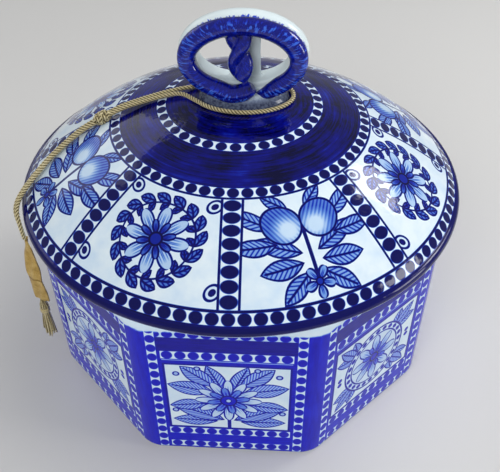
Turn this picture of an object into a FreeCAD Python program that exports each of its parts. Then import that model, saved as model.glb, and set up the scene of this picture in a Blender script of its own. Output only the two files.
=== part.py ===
import FreeCAD, Part
import math
import os

V = FreeCAD.Vector

# Pot: an eight-sided body with rounded corners, one flat facing -Y, standing on z = 0
side_count = 8
across_flats = 181.0
corner_radius = 13.0
body_height = 92.5
body_wall = 5.5
floor_thickness = 6.0
shoulder_thickness = 7.0
shoulder_rounding = 8.0
base_rounding = 2.5
mouth_radius = 77.0
foot_ring_width = 9.0
foot_recess_depth = 1.6

# Lid: a round dome, its section given by radii and by rises above the seat
edge_radius = 99.0
lip_radius = 100.0
lip_rise = 0.6
roll_radius = 100.9
roll_rise = 2.7
groove_radius = 98.4
groove_rise = 4.9
panel_radius = 95.0
panel_rise = 8.4
collar_radius = 57.0
collar_rise = 32.4
pad_radius = 22.0
crown_rise = 43.0
lower_bulge = 1.45
upper_bulge = 0.9
shell_drop = 6.5
flange_clearance = 1.2
flange_wall = 5.0
flange_depth = 9.0

# Knob: an upright pretzel on an oval foot, its front towards -Y
knob_offset = 1.8
foot_length = 40.0
foot_width = 26.6
foot_height = 3.6
foot_rounding = 1.2
knob_width = 55.0
knob_height = 36.5
knob_lift = 2.5
plate_thickness = 11.0
plate_front = 4.5
plate_rounding = 4.2
hole_width = 12.6
hole_height = 22.0
hole_spacing = 25.0
hole_lift = 16.0
hole_rounding = 5.5
rope_radius = 4.0
rope_inset = 0.7
strand_radius = 2.8
strand_spread = 3.1
strand_depth = 0.7
arm_reach = 4.5

# Cord: two strands of gold cord, from the knob's foot over the lid's edge to the tag
cord_diameter = 2.0
cord_radius = cord_diameter / 2
run_share = 0.45
knot_radius = 2.5
knot_length = 7.0
knot_centre = V(-60.9, -4.4, 125.8)
knot_axis = V(-0.872, -0.243, -0.426)

# Tag: a folded card sleeve that hangs from the cord's end and swings sideways
tag_bearing = 65.9
tag_reach = 102.6
tag_pivot_height = 84.5
tag_top_radius = 1.8
tag_half_width = 4.0
tag_length = 39.5
tag_thickness = 2.4
tassel_length = 26.0
tassel_top_radius = 1.1
tassel_knot_radius = 2.9
tassel_knot_drop = 7.0
tassel_end_radius = 3.6

seat_height = body_height
crown_height = seat_height + crown_rise
flange_radius = mouth_radius - flange_clearance
flange_bore = flange_radius - flange_wall

loop_route = [
    V(-57.54, -4.66, 127.3),
    V(-52.3, -3.2, 129.9),
    V(-43.0, -0.9, 132.2),
    V(-33.5, 0.1, 134.9),
    V(-25.5, 0.2, 136.7),
    V(-19.4, -5.3, 136.8),
    V(-10.8, -12.9, 136.8),
    V(2.6, -15.5, 136.8),
    V(15.7, -12.2, 136.8),
    V(23.6, -4.3, 136.8),
    V(23.2, 5.3, 136.8),
    V(14.4, 12.9, 136.8),
    V(1.0, 15.5, 136.8),
    V(-12.1, 12.2, 136.8),
    V(-19.6, 5.6, 136.8),
    V(-26.6, 3.4, 136.7),
    V(-34.2, 2.7, 134.9),
    V(-43.6, 1.5, 132.2),
    V(-52.9, -1.0, 129.9),
    V(-58.16, -2.44, 127.3),
]
tail_a_route = [
    V(-63.64, -6.36, 124.3),
    V(-69.2, -7.9, 121.6),
    V(-77.0, -10.7, 115.8),
    V(-84.1, -15.2, 110.8),
    V(-89.6, -21.6, 106.0),
    V(-94.7, -29.1, 101.7),
    V(-96.3, -36.9, 98.7),
    V(-93.6, -43.1, 93.4),
    V(-93.2, -43.2, 86.6),
]
tail_b_route = [
    V(-64.26, -4.14, 124.3),
    V(-69.8, -5.7, 121.6),
    V(-77.6, -8.5, 115.6),
    V(-85.1, -13.2, 110.3),
    V(-91.1, -20.0, 105.2),
    V(-96.3, -27.9, 100.6),
    V(-97.8, -35.3, 97.4),
    V(-94.7, -41.0, 93.0),
    V(-94.2, -41.2, 86.6),
]


def save(shape, name):
    shape.exportStep("parts/" + name + ".step")
    box = shape.BoundBox
    print(name, "solids", len(shape.Solids), "valid", shape.isValid(), "volume", round(shape.Volume, 1),
          "z", round(box.ZMin, 2), round(box.ZMax, 2))


def octagon(flats, radius, z):
    """A flat face with side_count sides across flats and rounded corners, at height z."""
    half = flats / 2
    circum = half / math.cos(math.pi / side_count)
    step = 2 * math.pi / side_count
    start = -math.pi / 2 + step / 2
    corners = []
    for i in range(side_count):
        turn = start + i * step
        corners.append(V(circum * math.cos(turn), circum * math.sin(turn), z))
    tangent = radius * math.tan(step / 2)
    sag = radius / math.cos(step / 2) - radius
    edges = []
    for i in range(side_count):
        here = corners[i]
        before = corners[i - 1]
        after = corners[(i + 1) % side_count]
        into = here - (here - before).normalize() * tangent
        out = here + (after - here).normalize() * tangent
        middle = here - V(here.x, here.y, 0).normalize() * sag
        edges.append((into, middle, out))
    parts = []
    for i in range(side_count):
        into, middle, out = edges[i]
        following = edges[(i + 1) % side_count][0]
        parts.append(Part.Arc(into, middle, out).toShape())
        parts.append(Part.LineSegment(out, following).toShape())
    return Part.Face(Part.Wire(parts))


def prism(flats, radius, low, high):
    return octagon(flats, radius, low).extrude(V(0, 0, high - low))


def level_edges(shape, z):
    return [edge for edge in shape.Edges
            if abs(edge.BoundBox.ZMin - z) < 0.01 and abs(edge.BoundBox.ZMax - z) < 0.01]


def jar_body():
    body = prism(across_flats, corner_radius, 0, body_height)
    body = body.makeFillet(shoulder_rounding, level_edges(body, body_height))
    body = body.makeFillet(base_rounding, level_edges(body, 0))
    inner_flats = across_flats - 2 * body_wall
    inner_corner = corner_radius - body_wall
    cavity = prism(inner_flats, inner_corner, floor_thickness, body_height - shoulder_thickness)
    mouth = Part.makeCylinder(mouth_radius, body_height, V(0, 0, floor_thickness))
    recess_flats = across_flats - 2 * (base_rounding + foot_ring_width)
    recess = prism(recess_flats, inner_corner, -1, foot_recess_depth)
    return body.cut(cavity).cut(mouth).cut(recess)


def bulged(start, end, bulge):
    """An arc from start to end that stands out from its chord by bulge."""
    along = end - start
    outward = V(-along.z, 0, along.x).normalize()
    middle = (start + end) * 0.5 + outward * bulge
    return Part.Arc(start, middle, end).toShape()


def at(radius, rise):
    return V(radius, 0, seat_height + rise)


def revolve(edges):
    face = Part.Face(Part.Wire(edges))
    return face.revolve(V(0, 0, 0), V(0, 0, 1), 360)


def dome_edges(drop):
    """The upper outline of the lid from its axis to the edge of the picture band, lowered by drop."""
    top = at(0, crown_rise - drop)
    pad = at(pad_radius, crown_rise - drop)
    collar = at(collar_radius, collar_rise - drop)
    panel = at(panel_radius, panel_rise - drop)
    return [Part.LineSegment(top, pad).toShape(),
            bulged(pad, collar, upper_bulge),
            bulged(collar, panel, lower_bulge)]


def lid():
    panel = at(panel_radius, panel_rise)
    groove = at(groove_radius, groove_rise)
    roll = at(roll_radius, roll_rise)
    lip = at(lip_radius, lip_rise)
    edge = at(edge_radius, 0)
    centre = at(0, 0)
    outline = dome_edges(0)
    outline.append(Part.LineSegment(panel, groove).toShape())
    outline.append(Part.Arc(groove, roll, lip).toShape())
    outline.append(Part.LineSegment(lip, edge).toShape())
    outline.append(Part.LineSegment(edge, centre).toShape())
    outline.append(Part.LineSegment(centre, at(0, crown_rise)).toShape())
    shell = revolve(outline)
    flange = Part.makeCylinder(flange_radius, flange_depth, V(0, 0, seat_height - flange_depth))
    low = at(panel_radius, -crown_rise)
    hollow = dome_edges(shell_drop)
    hollow.append(Part.LineSegment(at(panel_radius, panel_rise - shell_drop), low).toShape())
    hollow.append(Part.LineSegment(low, at(0, -crown_rise)).toShape())
    hollow.append(Part.LineSegment(at(0, -crown_rise), at(0, crown_rise - shell_drop)).toShape())
    bore = Part.makeCylinder(flange_bore, 2 * crown_rise, V(0, 0, seat_height - crown_rise))
    return shell.fuse(flange).cut(revolve(hollow).common(bore)).removeSplitter()


def ellipse_wire(half_x, half_z, centre):
    curve = Part.Ellipse(V(0, 0, 0), half_x, half_z)
    wire = Part.Wire([curve.toShape()])
    wire.rotate(V(0, 0, 0), V(1, 0, 0), 90)
    wire.translate(centre)
    return wire


def finger_hole(side, centre_z):
    low = centre_z - hole_height / 2
    left = knob_offset + side * hole_spacing / 2 - hole_width / 2
    block = Part.makeBox(hole_width, 4 * plate_thickness, hole_height, V(left, -2 * plate_thickness, low))
    upright = [edge for edge in block.Edges if edge.BoundBox.YLength > plate_thickness]
    return block.makeFillet(hole_rounding, upright)


def tube(points, tube_radius):
    """Straight runs joined by tangent arcs, each arc as large as its two runs allow."""
    edges = []
    radii = []
    last = points[0]
    for before, here, after in zip(points, points[1:], points[2:]):
        into = (here - before).normalize()
        out = (after - here).normalize()
        turn = into.getAngle(out)
        shorter = min((here - before).Length, (after - here).Length)
        setback = run_share * shorter
        radius = setback / math.tan(turn / 2)
        radii.append(round(radius, 1))
        start = here - into * setback
        end = here + out * setback
        bisector = (out - into).normalize()
        centre = here + bisector * (radius / math.cos(turn / 2))
        middle = centre - bisector * radius
        edges.append(Part.LineSegment(last, start).toShape())
        edges.append(Part.Arc(start, middle, end).toShape())
        last = end
    edges.append(Part.LineSegment(last, points[-1]).toShape())
    path = Part.Wire(edges)
    first = (points[1] - points[0]).normalize()
    section = Part.Wire([Part.Circle(points[0], first, tube_radius).toShape()])
    solid = path.makePipeShell([section], True, True)
    return solid, path.Length, radii


def cord_tube(points, name):
    solid, length, radii = tube(points, cord_radius)
    ideal = length * math.pi * cord_radius ** 2
    print(name, "length", round(length, 1), "least radius", min(radii),
          "volume share", round(solid.Volume / ideal, 4))
    print(name, "radii", radii)
    return solid


def pretzel_knob():
    centre_z = crown_height + knob_lift + knob_height / 2
    foot = Part.Wire([Part.Ellipse(V(0, 0, 0), foot_length / 2, foot_width / 2).toShape()])
    foot.translate(V(knob_offset, 0, crown_height))
    foot = Part.Face(foot).extrude(V(0, 0, foot_height))
    foot = foot.makeFillet(foot_rounding, level_edges(foot, crown_height + foot_height))
    back = V(knob_offset, plate_thickness - plate_front, centre_z)
    plate = Part.Face(ellipse_wire(knob_width / 2, knob_height / 2, back))
    plate = plate.extrude(V(0, -plate_thickness, 0))
    rims = [edge for edge in plate.Edges if edge.BoundBox.YLength < 0.01]
    plate = plate.makeFillet(plate_rounding, rims)
    for side in (-1, 1):
        plate = plate.cut(finger_hole(side, crown_height + knob_lift + hole_lift))
    half_x = knob_width / 2 - rope_inset - rope_radius
    half_z = knob_height / 2 - rope_inset - rope_radius
    rope_centre = V(knob_offset, -plate_front, centre_z)
    path = ellipse_wire(half_x, half_z, rope_centre)
    section = Part.Wire([Part.Circle(rope_centre + V(half_x, 0, 0), V(0, 0, 1), rope_radius).toShape()])
    rope = path.makePipeShell([section], True, False)
    knob = foot.fuse(plate).fuse(rope)
    front = -plate_front - strand_depth
    arm_drop = half_z * math.sqrt(1 - (arm_reach / half_x) ** 2)
    for side in (-1, 1):
        strand = [V(knob_offset + side * strand_spread, front, centre_z + half_z),
                  V(knob_offset + side * strand_spread, front, centre_z + half_z / 2),
                  V(knob_offset - side * strand_spread, front - side * strand_depth, centre_z - half_z / 4),
                  V(knob_offset - side * arm_reach, front, centre_z - arm_drop)]
        knob = knob.fuse(tube(strand, strand_radius)[0])
    return knob


def cord_knot():
    axis = knot_axis.normalize()
    start = knot_centre - axis * (knot_length / 2)
    knot = Part.makeCylinder(knot_radius, knot_length, start, axis)
    return knot.makeFillet(knot_radius * 0.08, knot.Edges[:1])


def tag_frame():
    bearing = math.radians(tag_bearing)
    outward = V(-math.sin(bearing), -math.cos(bearing), 0)
    sideways = V(-outward.y, outward.x, 0)
    pivot = outward * tag_reach + V(0, 0, tag_pivot_height)
    return pivot, outward, sideways


def gold_tag():
    pivot, outward, sideways = tag_frame()
    back = pivot - outward * (tag_thickness / 2)
    left = back - sideways * tag_top_radius
    top = back + V(0, 0, tag_top_radius)
    right = back + sideways * tag_top_radius
    low = V(0, 0, -tag_length)
    low_right = back + sideways * tag_half_width + low
    low_left = back - sideways * tag_half_width + low
    outline = Part.Wire([Part.Arc(left, top, right).toShape(),
                         Part.LineSegment(right, low_right).toShape(),
                         Part.LineSegment(low_right, low_left).toShape(),
                         Part.LineSegment(low_left, left).toShape()])
    return Part.Face(outline).extrude(outward * tag_thickness)


def cord_tassel():
    pivot, outward, sideways = tag_frame()
    top = pivot - V(0, 0, tag_length)
    knot = Part.makeCone(tassel_top_radius, tassel_knot_radius, tassel_knot_drop, top, V(0, 0, -1))
    rest = tassel_length - tassel_knot_drop
    skirt = Part.makeCone(tassel_knot_radius, tassel_end_radius, rest,
                          top - V(0, 0, tassel_knot_drop), V(0, 0, -1))
    return knot.fuse(skirt)


def main():
    os.makedirs("parts", exist_ok=True)
    save(jar_body(), "jar_body")
    save(lid(), "lid")
    save(pretzel_knob(), "pretzel_knob")
    save(cord_tube(loop_route, "cord_loop"), "cord_loop")
    save(cord_knot(), "cord_knot")
    save(cord_tube(tail_a_route, "cord_tail_a"), "cord_tail_a")
    save(cord_tube(tail_b_route, "cord_tail_b"), "cord_tail_b")
    save(gold_tag(), "gold_tag")
    save(cord_tassel(), "cord_tassel")


main()
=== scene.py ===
import bpy
import random
from functools import partialmethod
from math import cos, exp, hypot, pi, radians, sin, sqrt, tan
from mathutils import Matrix, Vector


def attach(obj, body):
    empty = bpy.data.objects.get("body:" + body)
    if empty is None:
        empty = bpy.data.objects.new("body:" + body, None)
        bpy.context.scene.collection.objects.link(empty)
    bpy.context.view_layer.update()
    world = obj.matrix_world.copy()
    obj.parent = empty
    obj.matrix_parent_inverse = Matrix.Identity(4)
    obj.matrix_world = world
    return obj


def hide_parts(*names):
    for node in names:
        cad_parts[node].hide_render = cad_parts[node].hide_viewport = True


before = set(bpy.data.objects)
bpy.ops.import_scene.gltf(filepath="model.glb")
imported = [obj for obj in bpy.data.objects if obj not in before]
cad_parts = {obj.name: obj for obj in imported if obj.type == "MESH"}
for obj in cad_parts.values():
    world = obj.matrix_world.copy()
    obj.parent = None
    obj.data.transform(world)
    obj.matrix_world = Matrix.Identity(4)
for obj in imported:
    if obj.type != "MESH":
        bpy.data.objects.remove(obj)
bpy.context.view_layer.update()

random.seed(7)
mm = 0.001
eighth = pi / 4      # the angle that one of the eight sides takes up
bpy.ops.object.select_all(action="DESELECT")
print("stage: frame loaded")


# camera, set where the photograph was taken from

cameraSettings = {
    "place": (0.02076, -0.27056, 0.29720),
    "right": (0.99834, 0.05740, -0.00450),
    "up": (-0.03490, 0.66660, 0.74460),
    "lens": 51.26,
    "sensorWidth": 36.0,
}


def addObject(name, data):
    piece = bpy.data.objects.new(name, data)
    bpy.context.scene.collection.objects.link(piece)
    return piece


def makeCamera(settings):
    data = bpy.data.cameras.new("camera")
    data.lens = settings["lens"]
    data.sensor_width = settings["sensorWidth"]
    right = Vector(settings["right"]).normalized()
    up = Vector(settings["up"])
    back = right.cross(up).normalized()
    up = back.cross(right)
    turn = Matrix((right, up, back)).transposed().to_4x4()
    camera = addObject("camera", data)
    camera.matrix_world = Matrix.Translation(settings["place"]) @ turn
    bpy.context.scene.camera = camera


makeCamera(cameraSettings)
print("stage: camera")


# cord: one loop round the knob's foot, a knot, and two strands over the lid's edge

cordSettings = {
    "diameter": 0.0020,
    "plies": 3,
    "plyShare": 0.47,       # a ply's radius as a share of the cord's
    "pitch": 0.0046,
    "sides": 7,
    "step": 0.00035,
    "pathStep": 0.001,
}
loopRoute = [
    (-57.54, -4.66, 127.3), (-52.3, -3.2, 129.9), (-43.0, -0.9, 132.2), (-33.5, 0.1, 134.9),
    (-25.5, 0.2, 136.7), (-19.4, -5.3, 136.8), (-10.8, -12.9, 136.8), (2.6, -15.5, 136.8),
    (15.7, -12.2, 136.8), (23.6, -4.3, 136.8), (23.2, 5.3, 136.8), (14.4, 12.9, 136.8),
    (1.0, 15.5, 136.8), (-12.1, 12.2, 136.8), (-19.6, 5.6, 136.8), (-26.6, 3.4, 136.7),
    (-34.2, 2.7, 134.9), (-43.6, 1.5, 132.2), (-52.9, -1.0, 129.9), (-58.16, -2.44, 127.3),
]
tailRouteA = [
    (-63.64, -6.36, 124.3), (-69.2, -7.9, 121.6), (-77.0, -10.7, 115.8), (-84.1, -15.2, 110.8),
    (-89.6, -21.6, 106.0), (-94.7, -29.1, 101.7), (-96.3, -36.9, 98.7), (-93.6, -43.1, 93.4),
    (-93.2, -43.2, 86.6),
]
tailRouteB = [
    (-64.26, -4.14, 124.3), (-69.8, -5.7, 121.6), (-77.6, -8.5, 115.6), (-85.1, -13.2, 110.3),
    (-91.1, -20.0, 105.2), (-96.3, -27.9, 100.6), (-97.8, -35.3, 97.4), (-94.7, -41.0, 93.0),
    (-94.2, -41.2, 86.6),
]


def addSpline(curve, places):      # a smooth open line that begins and ends at its outer places
    curve.dimensions = "3D"
    spline = curve.splines.new("NURBS")
    spline.points.add(len(places) - 1)
    for point, place in zip(spline.points, places):
        point.co = (*place, 1.0)
    spline.order_u = 3
    spline.use_endpoint_u = True
    return spline


def routeLine(route):      # the smooth line of a route, read from its spline
    curve = bpy.data.curves.new("route", "CURVE")
    addSpline(curve, [[value * mm for value in place] for place in route])
    curve.resolution_u = 16
    holder = bpy.data.objects.new("route", curve)
    mesh = bpy.data.meshes.new_from_object(holder)
    line = [vertex.co.copy() for vertex in mesh.vertices]
    bpy.data.objects.remove(holder)
    bpy.data.curves.remove(curve)
    bpy.data.meshes.remove(mesh)
    return line


def spaced(line, step):      # the same line with evenly spaced points
    lengths = [0.0]
    for here, there in zip(line, line[1:]):
        lengths.append(lengths[-1] + (there - here).length)
    count = max(2, round(lengths[-1] / step))
    out = []
    k = 0
    for i in range(count + 1):
        want = lengths[-1] * i / count
        while k < len(line) - 2 and lengths[k + 1] < want:
            k += 1
        share = (want - lengths[k]) / max(lengths[k + 1] - lengths[k], 1e-9)
        out.append(line[k].lerp(line[k + 1], share))
    return out, lengths[-1]


def carriedFrames(line):      # side directions that don't spin along the line
    frames = []
    side = None
    for before, after in zip(line[:1] + line[:-1], line[1:] + line[-1:]):
        tangent = (after - before).normalized()
        side = side or tangent.orthogonal().normalized()
        side = (side - tangent * side.dot(tangent)).normalized()
        frames.append((side, tangent.cross(side)))
    return frames


def around(place, sideways, radius, turn):      # a point beside place, out along its two side directions
    side, other = sideways
    return place + side * (radius * cos(turn)) + other * (radius * sin(turn))


def dress(piece, body, node, material):      # its finish, its body and the node it stands for
    piece.data.materials.clear()
    piece.data.materials.append(material)
    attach(piece, body)
    if node:
        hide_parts(node)
    return piece


class Strands:      # the tubes of a cord; lifts tells the plies' crests from their grooves, so that the finish can paint shade into the grooves
    def __init__(self):
        self.verts, self.faces, self.lifts = [], [], []

    def tube(self, line, radius, sides, lift=None):      # closed and round, along line
        start = len(self.verts)
        for place, sideways in zip(line, carriedFrames(line)):
            self.verts += [around(place, sideways, radius, 2 * pi * k / sides) for k in range(sides)]
        for i in range(len(line) - 1):
            for k in range(sides):
                a = start + i * sides + k
                b = start + i * sides + (k + 1) % sides
                self.faces.append((a, b, b + sides, a + sides))
        end = start + (len(line) - 1) * sides
        self.faces.append([start + k for k in range(sides)][::-1])
        self.faces.append([end + k for k in range(sides)])
        if lift:
            self.lifts += [lift] * (len(self.verts) - start)

    def twist(self, line, radius, settings):      # the plies of a twisted cord along line
        line, length = spaced(line, settings["step"])
        frames = carriedFrames(line)
        plies, sides = settings["plies"], settings["sides"]
        plyRadius = radius * settings["plyShare"]
        for ply in range(plies):
            path = []
            for i, (place, sideways) in enumerate(zip(line, frames)):
                windings = i * length / (len(line) - 1) / settings["pitch"] + ply / plies
                path.append(around(place, sideways, radius - plyRadius, 2 * pi * windings))
            first = len(self.verts)
            self.tube(path, plyRadius, sides)
            for k, vert in enumerate(self.verts[first:]):
                self.lifts.append((vert - line[k // sides]).length / radius)
        return length

    def piece(self, name, body, node, material):
        mesh = bpy.data.meshes.new(name)
        mesh.from_pydata(self.verts, [], self.faces)
        mesh.update()
        mesh.attributes.new("lift", "FLOAT", "POINT").data.foreach_set("value", self.lifts)
        mesh.polygons.foreach_set("use_smooth", [True] * len(mesh.polygons))
        return dress(addObject(name, mesh), body, node, material)


def makeCord(name, node, settings, material):
    line = cordLine[name]
    strands = Strands()
    length = strands.twist(line, settings["diameter"] / 2, settings)
    piece = strands.piece(name, "lid", node, material)
    print("cord", name, round(length, 4))
    return piece


cordLine = {name: routeLine(route) for name, route in
            (("cordLoop", loopRoute), ("cordTailA", tailRouteA), ("cordTailB", tailRouteB))}
print("stage: cord routes")


# small helpers for pieces shaped in edit mode

def finish(piece, body, node, material, angle=35):
    pick(piece)
    settle()
    bpy.ops.object.shade_smooth_by_angle(angle=radians(angle))
    piece.select_set(False)
    return dress(piece, body, node, material)


def applyModifiers(piece):
    pick(piece)
    for modifier in list(piece.modifiers):
        bpy.ops.object.modifier_apply(modifier=modifier.name)


def pick(piece):      # makes piece the only selected object
    bpy.ops.object.select_all(action="DESELECT")
    piece.select_set(True)
    bpy.context.view_layer.objects.active = piece


def settle():      # puts the active piece's place, turn and size into its mesh
    bpy.ops.object.transform_apply(location=True, rotation=True, scale=True)
    return bpy.context.object


def openMesh():      # the active piece in edit mode, with all of it selected
    bpy.ops.object.mode_set(mode="EDIT")
    bpy.ops.mesh.select_mode(type="EDGE")
    bpy.ops.mesh.select_all(action="SELECT")


def sealMesh():      # closes the last ring and turns the skin outwards
    bpy.ops.mesh.edge_face_add()
    bpy.ops.mesh.select_all(action="SELECT")
    bpy.ops.mesh.remove_doubles(threshold=0.00001)
    bpy.ops.mesh.normals_make_consistent(inside=False)
    bpy.ops.object.mode_set(mode="OBJECT")


def widen(wide, deep):      # the selection, from the middle of the jar
    bpy.ops.transform.resize(value=(wide, deep, 1), center_override=(0, 0, 0))


def growRing(dz, scale):      # the selected ring of edges, drawn out to its next place
    bpy.ops.mesh.extrude_region_move(TRANSFORM_OT_translate={"value": (0, 0, dz)})
    widen(scale, scale)


def growProfile(start, profile):      # start and profile hold (reach, height) in millimetres
    reach, height = start
    for nextReach, nextHeight in profile:
        growRing((nextHeight - height) * mm, nextReach / reach)
        reach, height = nextReach, nextHeight


def arcPoints(centre, radius, start, end, count):      # angles in degrees from +reach towards +height
    out = []
    for i in range(1, count + 1):
        turn = radians(start + (end - start) * i / count)
        out.append((centre[0] + radius * cos(turn), centre[1] + radius * sin(turn)))
    return out


def bowPoints(a, b, bow, count):      # from a to b, bowed outwards in the middle
    out = []
    across, up = b[0] - a[0], b[1] - a[1]
    length = hypot(across, up)
    for i in range(1, count + 1):
        t = i / count
        lift = bow * 4 * t * (1 - t)
        out.append((a[0] + across * t - up / length * lift, a[1] + up * t + across / length * lift))
    return out


# numbers worked out by a material's nodes, so that a pattern can be written as sums

def plug(tree, slot, item):      # feeds a node's slot with another node's result or a plain value
    if isinstance(item, Num):
        item = item.socket
    if isinstance(item, bpy.types.NodeSocket):
        tree.links.new(item, slot)
    else:
        slot.default_value = item


def addNode(tree, kind, items=(), **properties):      # items are pairs of a slot and what feeds it
    node = tree.nodes.new("ShaderNode" + kind)
    for name, value in properties.items():
        setattr(node, name, value)
    for slot, item in items:
        plug(tree, node.inputs[slot], item)
    return node


class Num:
    def __init__(self, tree, socket):
        self.tree = tree
        self.socket = socket

    def node(self, operation, *others, clamp=False):
        items = enumerate((self,) + others)
        node = addNode(self.tree, "Math", items, operation=operation, use_clamp=clamp)
        return Num(self.tree, node.outputs[0])

    __add__ = partialmethod(node, "ADD")
    __sub__ = partialmethod(node, "SUBTRACT")
    __mul__ = partialmethod(node, "MULTIPLY")
    flip = partialmethod(node, "MULTIPLY_ADD", -1.0, 1.0)      # one minus this
    abs = partialmethod(node, "ABSOLUTE")
    sin = partialmethod(node, "SINE")
    cos = partialmethod(node, "COSINE")
    least = partialmethod(node, "MINIMUM")
    most = partialmethod(node, "MAXIMUM")
    root = partialmethod(node, "SQRT")
    fraction = partialmethod(node, "FRACT")

    def waves(self, pitch):      # up and down once in each pitch
        return (self * (2 * pi / pitch)).sin()

    def wrap(self, low, high):
        return self.node("WRAP", high, low)

    def over(self, edge, soft):      # 1 above edge, 0 below it, soft wide
        if isinstance(edge, Num):
            return (self - edge).node("MULTIPLY_ADD", 1 / soft, 0.5, clamp=True)
        return self.node("MULTIPLY_ADD", 1 / soft, 0.5 - edge / soft, clamp=True)

    def under(self, edge, soft):
        return self.over(edge, soft).flip()

    def within(self, low, high, soft):
        return self.over(low, soft) * self.under(high, soft)

    def cover(self, amount, mask):      # paints amount over this where mask is 1
        node = addNode(self.tree, "Mix", ((0, mask), (2, self), (3, amount)))
        return Num(self.tree, node.outputs[0])


class Finish:      # a material and the numbers that its patterns start from
    def __init__(self, name):
        self.material = bpy.data.materials.new(name)
        self.material.use_nodes = True
        self.tree = self.material.node_tree
        self.shader = self.tree.nodes["Principled BSDF"]
        self.place = addNode(self.tree, "TexCoord").outputs["Object"]
        parts = addNode(self.tree, "SeparateXYZ", ((0, self.place),))
        self.x, self.y, self.z = [Num(self.tree, part) * (1 / mm) for part in parts.outputs]

    def at(self, x, y, z):      # a place made of three numbers
        return addNode(self.tree, "CombineXYZ", enumerate((x, y, z))).outputs[0]

    def noise(self, place, scale, detail=2.0, roughness=0.5):
        items = (("Vector", place), ("Scale", scale), ("Detail", detail), ("Roughness", roughness))
        return Num(self.tree, addNode(self.tree, "TexNoise", items).outputs[0])

    def ramp(self, value, stops):
        node = addNode(self.tree, "ValToRGB", ((0, value),))
        elements = node.color_ramp.elements
        elements.remove(elements[0])
        for k, (place, colour) in enumerate(stops):
            stop = elements[0] if k == 0 else elements.new(place)
            stop.position = place
            stop.color = tint(colour)
        return node.outputs[0]

    def blend(self, first, second, mask):      # second over first where mask is 1
        items = ((0, mask), (6, first), (7, second))
        return addNode(self.tree, "Mix", items, data_type="RGBA").outputs[2]

    def bump(self, height, strength, distance):
        items = (("Strength", strength), ("Distance", distance), ("Height", height))
        self.set(Normal=addNode(self.tree, "Bump", items).outputs[0])

    def set(self, **values):
        for name, value in values.items():
            plug(self.tree, self.shader.inputs[name.replace("_", " ")], value)


def tint(colour):      # a colour given in screen steps, as the shader wants it
    out = []
    for step in colour:
        part = step / 255
        out.append(part / 12.92 if part <= 0.04045 else ((part + 0.055) / 1.055) ** 2.4)
    return (*out, 1.0)


# shapes that the glaze patterns are drawn with; each gives 1 inside, 0 outside

def span(a, b):      # the length of a step of a one way and b the other
    return (a * a + b * b).root()


def everySecond(turns):      # 1 over every second side, 0 over the others
    return turns.fraction().over(0.5, 0.001)


def paintLeaf(ink, u, v, root, angle, length, width, fill, dark):
    turn = radians(angle)
    along = (u - root[0]) * cos(turn) + (v - root[1]) * sin(turn)
    across = ((v - root[1]) * cos(turn) - (u - root[0]) * sin(turn)).abs()
    t = along * (1 / length)
    depth = t * t.flip() * (2 * width) - across
    body = depth.over(0.0, 0.25)
    rim = body * depth.under(0.6, 0.35)
    vein = body * across.under(0.32, 0.3) * t.under(0.9, 0.05)
    hatch = (along - across * 1.1).waves(1.7).over(0.25, 0.9) * body * t.under(0.95, 0.6)
    ink = ink.cover(fill, body).cover(fill + 0.34, hatch * 0.85)
    return ink.cover(dark, rim.most(vein))


def discDistance(u, v, centre):
    return span(u - centre[0], v - centre[1])


def paintDisc(ink, u, v, centre, radius, fill, dark, line=0.5):
    distance = discDistance(u, v, centre)
    ink = ink.cover(fill, distance.under(radius, 0.25))
    return ink.cover(dark, distance.within(radius - line, radius, 0.25))


def paintPetals(ink, u, v, centre, count, inner, outer, width, fill, dark, turned=0.0):
    du = u - centre[0]
    dv = v - centre[1]
    radius = span(du, dv)
    step = 2 * pi / count
    angle = (du.node("ARCTAN2", dv) + turned).wrap(-step / 2, step / 2)
    along = radius * angle.cos()
    across = (radius * angle.sin()).abs()
    t = (along - inner) * (1 / (outer - inner))
    taper = t.most(0.0).node("POWER", 0.75) * t.flip().most(0.0).node("POWER", 0.45)
    depth = taper * (width * 0.72) - across
    body = depth.over(0.0, 0.25) * along.within(inner, outer - 0.1, 0.1)
    ink = ink.cover(fill, body)
    strokes = across.waves(0.9).over(0.2, 0.8) * body * t.under(0.62, 0.3)
    ink = ink.cover(fill + 0.25, strokes)
    return ink.cover(dark, body * depth.under(0.62, 0.35))


def paintBeads(ink, along, across, pitch, halfWidth, dotAlong, dotAcross, mask, white=0.04, dark=0.93):
    along = along.wrap(-pitch / 2, pitch / 2)
    dot = along * along * (1 / dotAlong ** 2) + across * across * (1 / dotAcross ** 2)
    band = across.abs().under(halfWidth, 0.25) * mask
    ink = ink.cover(white, band)
    return ink.cover(dark, band * dot.under(1.0, 0.35))


glazeSettings = {
    "swellScale": 55.0,        # slow waves of the fired surface
    "swell": 0.75,
    "pitScale": 420.0,
    "pits": 0.10,
    "bumpDistance": 0.0012,
    "roughness": 0.09,
}


def glazeGloss(f, wave=0.35, bend=1.43):      # an even gloss, faintly uneven, with its own bend of light
    swell = f.noise(f.place, glazeSettings["swellScale"], 1.0) * glazeSettings["swell"]
    pits = f.noise(f.place, glazeSettings["pitScale"], 1.0) * glazeSettings["pits"]
    f.bump(swell + pits, wave, glazeSettings["bumpDistance"])
    f.set(Roughness=glazeSettings["roughness"], IOR=bend)


bodyInks = [
    (0.00, (222, 236, 242)), (0.16, (182, 208, 238)), (0.34, (96, 138, 222)),
    (0.56, (12, 24, 212)), (0.78, (6, 0, 172)), (1.00, (2, 0, 92)),
]
lidInks = [
    (0.00, (222, 233, 237)), (0.16, (178, 204, 230)), (0.34, (88, 134, 208)),
    (0.56, (18, 46, 168)), (0.76, (6, 10, 120)), (1.00, (2, 2, 46)),
]


plainInks = [
    (0.00, (226, 233, 232)), (0.50, (206, 217, 220)), (0.66, (196, 186, 168)), (1.00, (160, 146, 124)),
]


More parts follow.
